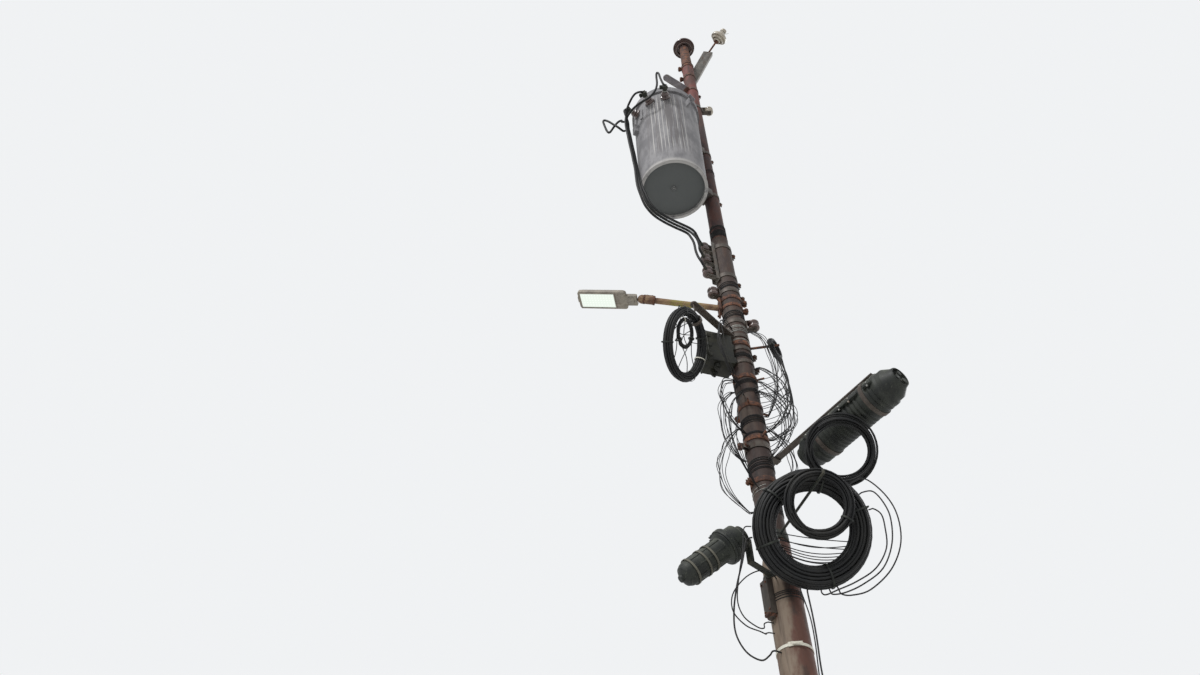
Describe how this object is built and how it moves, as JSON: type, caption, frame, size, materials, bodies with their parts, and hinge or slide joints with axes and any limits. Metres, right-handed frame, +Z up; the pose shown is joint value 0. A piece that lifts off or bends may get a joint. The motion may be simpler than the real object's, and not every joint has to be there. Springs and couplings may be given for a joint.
{
  "type": "stepped steel service pole with transformer and street lamp",
  "caption": "Rusted stepped steel utility pole with pole-top insulators, can transformer, street lamp, cable coils and splice closures.",
  "frame": {"origin": "centre of the pole's foot at ground level", "axes": "+Z up along the pole, +X to the right of the pictured side, -Y towards the viewer"},
  "size_m": [1.72, 0.8843, 11.2924],
  "materials": {
    "weathered_steel": "old red oxide paint, dust and rust over steel, matte",
    "red_oxide_paint": "weathered red oxide paint with rust stains, matte",
    "rusty_hardware": "rusted forged hardware, matte",
    "galvanised_steel": "dull hot-dip zinc with stains",
    "transformer_paint": "chalky light grey paint with dirt streaks",
    "brown_porcelain": "glazed brown porcelain, dusty",
    "grey_porcelain": "glazed pale grey porcelain, dusty",
    "lamp_paint": "warm grey powder coat, dusty",
    "lamp_glass": "frosted lens lit from inside",
    "black_plastic": "black moulded plastic with a film of dust",
    "cable_black": "black polyethylene cable jacket",
    "tie_strap": "pale nylon strap, dirty"
  },
  "bodies": {
    "root": {"pole_lower_tube": "weathered_steel", "pole_middle_tube": "red_oxide_paint", "pole_upper_tube": "red_oxide_paint", "pole_top_pin": "weathered_steel", "top_insulator": "brown_porcelain", "bayonet_channel": "galvanised_steel", "bayonet_band_upper": "rusty_hardware", "bayonet_band_lower": "rusty_hardware", "side_insulator_pin": "rusty_hardware", "side_insulator": "grey_porcelain", "equipment_arm": "galvanised_steel", "transformer_tank": "transformer_paint", "transformer_cover": "transformer_paint", "cover_clamp_band": "transformer_paint", "hv_bushings": "brown_porcelain", "lv_bushings": "brown_porcelain", "tank_hanger_upper": "galvanised_steel", "tank_hanger_lower": "galvanised_steel", "transformer_leads": "cable_black", "spare_lead_loop": "cable_black", "service_clevis": "galvanised_steel", "service_spool": "grey_porcelain", "rack_channel": "galvanised_steel", "rack_spools": "grey_porcelain", "rack_bands": "galvanised_steel", "left_clevis": "rusty_hardware", "left_spool": "brown_porcelain", "right_clevis": "rusty_hardware", "right_spool": "brown_porcelain", "lamp_bracket": "rusty_hardware", "lamp_arm": "rusty_hardware", "lamp_clamp": "rusty_hardware", "lamp_housing": "lamp_paint", "lamp_lens": "lamp_glass", "terminal_box": "black_plastic", "terminal_box_door": "black_plastic", "storage_bracket": "galvanised_steel", "wheel_coil_outer": "cable_black", "wheel_coil_inner": "cable_black", "right_coil_bracket": "rusty_hardware", "right_coil": "cable_black", "hook_bands": "rusty_hardware", "jumper_wires_left": "cable_black", "jumper_wires_right": "cable_black", "closure_bracket": "galvanised_steel", "inline_closure": "black_plastic", "closure_straps": "galvanised_steel", "coil_hook": "rusty_hardware", "big_coil": "cable_black", "inner_coil": "cable_black", "upper_coil": "cable_black", "loose_turns": "cable_black", "dome_bracket": "rusty_hardware", "dome_closure": "black_plastic", "dome_straps": "tie_strap", "riser_guard": "galvanised_steel", "pole_strap": "tie_strap", "drop_loops": "cable_black", "tail_wires": "cable_black"}
  },
  "joints": []
}
